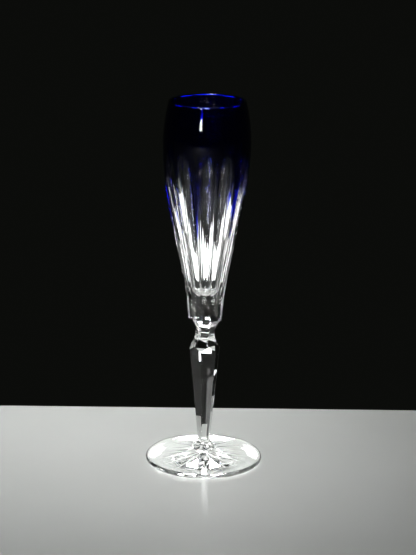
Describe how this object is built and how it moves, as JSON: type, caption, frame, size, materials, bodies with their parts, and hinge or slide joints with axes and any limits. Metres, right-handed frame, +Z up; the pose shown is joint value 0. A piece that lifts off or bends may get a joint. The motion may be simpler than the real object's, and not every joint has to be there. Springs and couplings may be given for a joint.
{
  "type": "champagne flute",
  "caption": "Tall stemmed champagne flute in clear cut crystal, with a blue glass casing cut into petals, a six-sided stem and a round foot.",
  "frame": {"origin": "centre of the foot's underside, on the surface that the glass stands on", "axes": "+Z up the stem to the rim; +X lies 15 degrees from the first petal and the first ridge of the stem"},
  "size_m": [0.0764, 0.0764, 0.24],
  "materials": {
    "clear_crystal": "clear lead crystal, polished cuts",
    "blue_glass": "transparent cobalt blue glass, polished"
  },
  "bodies": {
    "root": {"crystal_bowl": "clear_crystal", "blue_casing": "blue_glass", "stem": "clear_crystal", "foot": "clear_crystal"}
  },
  "joints": []
}
